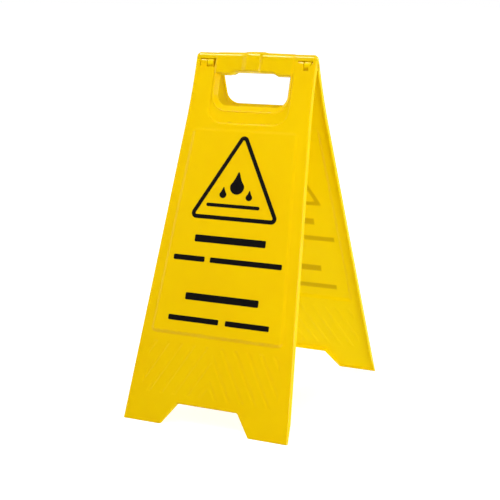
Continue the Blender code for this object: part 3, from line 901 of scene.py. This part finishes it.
class Nodes:
    """Short calls for building the node tree of one material or world."""

    def __init__(self, owner, shader="Principled BSDF"):
        owner.use_nodes = True
        self.owner = owner
        self.tree = owner.node_tree
        self.shader = self.tree.nodes[shader]

    def set(self, values):
        """Sets or links inputs of the shader, by name."""
        for name, value in values.items():
            self.feed(self.shader.inputs[name], value)

    def add(self, kind, **values):
        node = self.tree.nodes.new(kind)
        for key, value in values.items():
            setattr(node, key, value)
        return node

    def link(self, source, target):
        self.tree.links.new(source, target)

    def noise(self, coordinates, scale, detail=3.0, rough=0.55):
        node = self.add("ShaderNodeTexNoise")
        node.inputs["Scale"].default_value = scale
        node.inputs["Detail"].default_value = detail
        node.inputs["Roughness"].default_value = rough
        self.link(coordinates, node.inputs["Vector"])
        return node.outputs["Fac"]

    def feed(self, socket, value):
        """Links an output to the socket, or sets it to a plain value."""
        if isinstance(value, bpy.types.NodeSocket):
            self.link(value, socket)
        else:
            socket.default_value = value

    def math(self, operation, *values):
        node = self.add("ShaderNodeMath", operation=operation)
        for socket, value in zip(node.inputs, values):
            self.feed(socket, value)
        return node.outputs[0]

    def vector(self, operation, one, other=(0, 0, 0)):
        node = self.add("ShaderNodeVectorMath", operation=operation)
        self.feed(node.inputs[0], one)
        self.feed(node.inputs[1], other)
        return node.outputs[0]

    def split(self, vector):
        """The X, Y and Z of a vector, as outputs by name."""
        node = self.add("ShaderNodeSeparateXYZ")
        self.link(vector, node.inputs["Vector"])
        return node.outputs

    def attribute(self, name, output):
        return self.add("ShaderNodeAttribute", attribute_name=name).outputs[output]

    def ramp(self, source, low, high, to_low=0.0, to_high=1.0, curve="LINEAR"):
        """Maps low...high to to_low...to_high, and stays level outside them."""
        node = self.add("ShaderNodeMapRange", interpolation_type=curve)
        node.inputs["From Min"].default_value = low
        node.inputs["From Max"].default_value = high
        node.inputs["To Min"].default_value = to_low
        node.inputs["To Max"].default_value = to_high
        self.link(source, node.inputs["Value"])
        return node.outputs["Result"]

    def seen(self, shed, shown):
        """The second value where the camera looks straight at the surface, and the first for other rays."""
        node = self.add("ShaderNodeMapRange")
        self.link(self.add("ShaderNodeLightPath").outputs["Is Camera Ray"], node.inputs["Value"])
        self.feed(node.inputs["To Min"], shed)
        self.feed(node.inputs["To Max"], shown)
        return node.outputs["Result"]

    def mix(self, share, one, other, blend="MIX"):
        node = self.add("ShaderNodeMix", data_type="RGBA", blend_type=blend)
        sockets = [s for s in node.inputs if s.enabled]
        for socket, value in zip(sockets, (share, one, other)):
            self.feed(socket, value)
        return next(s for s in node.outputs if s.enabled)

    def bump(self, height, strength, distance, normal=None):
        node = self.add("ShaderNodeBump")
        node.inputs["Strength"].default_value = strength
        node.inputs["Distance"].default_value = distance
        self.link(height, node.inputs["Height"])
        if normal:
            self.link(normal, node.inputs["Normal"])
        return node.outputs["Normal"]


def inner_side(nodes):
    """0 on the face that people read, and 1 on the side behind it and on the walls of the opening."""
    return nodes.attribute("inner_side", "Fac")


def painted_print_shadow(nodes):
    """Mask of the print's painted shadow, blurred, on the other side of the wall where light comes through
    it.
    """
    place_on_panel = nodes.attribute("panel_place", "Vector")
    at = nodes.split(place_on_panel)
    mask = print_shadow_triangle(nodes, at["X"], at["Z"])
    for left, right, middle, thick, _ in PRINTED_BARS:
        centre = ((left + right) / 2 * MM + PRINT_SHIFT, 0, middle * MM)
        half = ((right - left) / 2 * MM, 1, thick / 2 * MM)
        mask = nodes.math("MAXIMUM", mask, print_shadow_box(nodes, place_on_panel, centre, half))
    rise, width, height = PRINT_SHADOW_DROP
    for middle, up, size in PRINTED_DROPS:
        centre = (middle * MM + PRINT_SHIFT, 0, (up + size * rise) * MM)
        half = (size * width * MM, 1, size * height * MM)
        mask = nodes.math("MAXIMUM", mask, print_shadow_box(nodes, place_on_panel, centre, half))
    return nodes.math("MULTIPLY", mask, inner_side(nodes))


def print_shadow_box(nodes, place_on_panel, centre, half):
    """Blurred mask of an upright box, from its centre and its half sizes."""
    offset = nodes.vector("ABSOLUTE", nodes.vector("SUBTRACT", place_on_panel, centre))
    past = nodes.split(nodes.vector("SUBTRACT", offset, half))
    outside = nodes.math("MAXIMUM", past["X"], past["Z"])
    return nodes.ramp(outside, -PRINT_SHADOW_BLUR, PRINT_SHADOW_BLUR, 1.0, 0.0, "SMOOTHSTEP")


def print_shadow_triangle(nodes, x, up):
    """Blurred mask of the triangle's stroke, from the depth inside its base and its two sides."""
    low, high = TRIANGLE_UP
    side = Vector((high - low, TRIANGLE_HALF)).normalized()
    across = nodes.math("ABSOLUTE", nodes.math("SUBTRACT", x, PRINT_SHIFT))
    lean = nodes.math("ADD", nodes.math("MULTIPLY", across, side.x), nodes.math("MULTIPLY", up, side.y))
    sides = nodes.math("SUBTRACT", high * side.y, lean)
    base = nodes.math("SUBTRACT", up, low)
    inside = nodes.math("SMOOTH_MIN", sides, base, TRIANGLE_CORNER)
    half = TRIANGLE_STROKE / 2
    apart = nodes.math("ABSOLUTE", nodes.math("SUBTRACT", inside, half))
    edge = (half - PRINT_SHADOW_BLUR, half + PRINT_SHADOW_BLUR)
    return nodes.ramp(apart, *edge, 1.0, 0.0, "SMOOTHSTEP")


def plastic_colour(nodes, where, colours):
    """Clouded and specked on the face. On the inner side a lighter colour is painted light let through the
    wall, and the print's painted shadow darkens it.
    """
    plain, deeper, inner = colours
    clouds = nodes.ramp(nodes.noise(where, CLOUD_SCALE, 4), 0.35, 0.7)
    specks = nodes.ramp(nodes.noise(where, SPECK_SCALE, 2), 0.68, 0.78, 0.0, SPECK_STRENGTH)
    colour = nodes.mix(clouds, plain, deeper)
    colour = nodes.mix(specks, colour, SPECK)
    # painted light: the inner side and the opening's walls take a lighter colour that stands in for light
    # let through the wall
    colour = nodes.mix(inner_side(nodes), colour, inner)
    # painted shadow: the inner side is tinted darker where the print on the outside blocks light let
    # through the wall
    return nodes.mix(painted_print_shadow(nodes), colour, PRINT_SHADOW_TINT, "MULTIPLY")


def moulded_plastic(name, colours, roughness):
    """Satin moulded plastic: uneven sheen, fine grain, slow ripple, and light let through thin walls."""
    nodes = Nodes(bpy.data.materials.new(name))
    where = nodes.add("ShaderNodeTexCoord").outputs["Object"]
    rough = [roughness + spread for spread in ROUGHNESS_SPREAD]
    relief = nodes.bump(nodes.noise(where, GRAIN[0], 2), *GRAIN[1:])
    relief = nodes.bump(nodes.noise(where, RIPPLE[0], 2), *RIPPLE[1:], relief)
    nodes.set({
        "Base Color": plastic_colour(nodes, where, colours),
        "Roughness": nodes.ramp(nodes.noise(where, SHEEN_SCALE, 5), 0.3, 0.75, *rough),
        "Normal": relief,
        "Subsurface Weight": SCATTER,
        "Subsurface Radius": SCATTER_COLOURS,
        "Subsurface Scale": SCATTER_REACH,
        "Specular IOR Level": nodes.ramp(inner_side(nodes), 0, 1, *GLOSS),
    })
    return nodes.owner


def screen_ink(name):
    """Black screen-printed ink with a slightly uneven coat."""
    nodes = Nodes(bpy.data.materials.new(name))
    where = nodes.add("ShaderNodeTexCoord").outputs["Object"]
    coat = nodes.noise(where, INK_COAT[0], 3)
    nodes.set({
        "Base Color": nodes.mix(nodes.ramp(coat, 0.4, 0.75), *INK),
        "Roughness": nodes.ramp(coat, 0.3, 0.7, *INK_ROUGHNESS),
        "Normal": nodes.bump(coat, *INK_COAT[1:]),
        "Specular IOR Level": INK_GLOSS,
    })
    return nodes.owner


def floor_material():
    """Pale and matt. It glows a little, so that it runs out to white all round the sign."""
    nodes = Nodes(bpy.data.materials.new("studio_floor"))
    where = nodes.add("ShaderNodeTexCoord").outputs["Object"]
    distance = nodes.add("ShaderNodeVectorMath", operation="LENGTH")
    nodes.link(where, distance.inputs[0])
    glow = nodes.ramp(distance.outputs["Value"], *FLOOR_REACH, *FLOOR_GLOW)
    bounce = nodes.ramp(nodes.split(where)["Y"], *FLOOR_TURN, *FLOOR_LIGHT)
    nodes.set({
        "Base Color": nodes.mix(nodes.noise(where, 2), *FLOOR_GREY),
        "Roughness": 0.9,
        "Specular IOR Level": 0.0,
        "Emission Color": WHITE,
        "Emission Strength": nodes.seen(bounce, glow),
    })
    return nodes.owner


# Putting the sign together


def place(item, turned):
    """Bakes a piece's place on the hinge axis into its mesh, turned half round for the rear panel."""
    axis_height = HINGE_UP * cos(TILT) - HINGE_DEPTH * sin(TILT)
    lean = Matrix.Rotation(-TILT, 4, "X")
    half_turn = Matrix.Rotation(pi if turned else 0, 4, "Z")
    item.data.transform(Matrix.Translation((0, 0, axis_height)) @ half_turn @ lean)


def shade(item, angle):
    """Smooth shading, with edges sharper than an angle left crisp."""
    item.data.shade_smooth()
    item.data.set_sharp_from_angle(angle=radians(angle))
    modifier = item.modifiers.new("normals", "WEIGHTED_NORMAL")
    modifier.keep_sharp = True
    modifier.weight = 100


def twin(item):
    """A second piece from the same mould."""
    copy = bpy.data.objects.new("copy", item.data.copy())
    bpy.context.scene.collection.objects.link(copy)
    return copy


def settle(item, name, body, material, turned, node=None, angle=35):
    """Names a piece, places it, gives it its plastic or ink, and puts it on its body."""
    item.name = name
    place(item, turned)
    item.data.materials.clear()
    item.data.materials.append(material)
    shade(item, angle)
    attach(item, body)
    if node:
        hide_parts(node)


def build_sign():
    yellow = moulded_plastic("yellow_plastic", YELLOW, YELLOW_ROUGHNESS)
    pin_plastic = moulded_plastic("pin_plastic", PIN_YELLOW, PIN_ROUGHNESS)
    ink = screen_ink("sign_ink")
    panel = moulded_panel()
    settle(twin(panel), "rear_panel_moulding", "rear", yellow, True, "rear_panel")
    settle(panel, "front_panel_moulding", "front", yellow, False, "front_panel")
    pin = hinge_pin("pin")
    settle(twin(pin), "left_hinge_pin", "rear", pin_plastic, True, "hinge_pin_left")
    settle(pin, "right_hinge_pin", "front", pin_plastic, False, "hinge_pin_right")
    graphic = graphics()
    settle(twin(graphic), "rear_print", "rear", ink, True)
    settle(graphic, "front_print", "front", ink, False)


# Studio


def add_floor():
    mesh = bmesh.new()
    signs = ((-1, -1), (1, -1), (1, 1), (-1, 1))
    mesh.faces.new([mesh.verts.new((x * FLOOR_SIZE, y * FLOOR_SIZE, 0)) for x, y in signs])
    floor = finish(mesh, "studio_floor")
    floor.data.materials.append(floor_material())


def aimed(item, position, target):
    """Puts a light or the camera at a position, facing a target."""
    item.location = position
    item.rotation_euler = (Vector(target) - Vector(position)).to_track_quat("-Z", "Y").to_euler()
    bpy.context.scene.collection.objects.link(item)


def add_light(name, position, target, size, power):
    light = bpy.data.lights.new(name, "AREA")
    light.shape = "RECTANGLE"
    light.size, light.size_y = size
    light.energy = power
    aimed(bpy.data.objects.new(name, light), position, target)


def add_world():
    """A white room, whose light comes mostly from behind the sign."""
    nodes = Nodes(bpy.data.worlds.new("studio"), "Background")
    direction = nodes.split(nodes.add("ShaderNodeTexCoord").outputs["Generated"])
    glow = nodes.ramp(direction["Y"], *WORLD_TURN, *WORLD_LIGHT)
    nodes.set({"Color": WHITE, "Strength": nodes.seen(glow, 1.0)})
    bpy.context.scene.world = nodes.owner


def add_studio():
    add_floor()
    for light in LIGHTS:
        add_light(*light)
    add_world()
    bpy.context.scene.view_settings.view_transform = "Standard"


def add_camera():
    camera = bpy.data.cameras.new("camera")
    camera.lens = LENS
    camera.sensor_width = SENSOR_WIDTH
    item = bpy.data.objects.new("camera", camera)
    aimed(item, CAMERA_AT, CAMERA_AIM)
    bpy.context.scene.camera = item


build_sign()
add_studio()
add_camera()
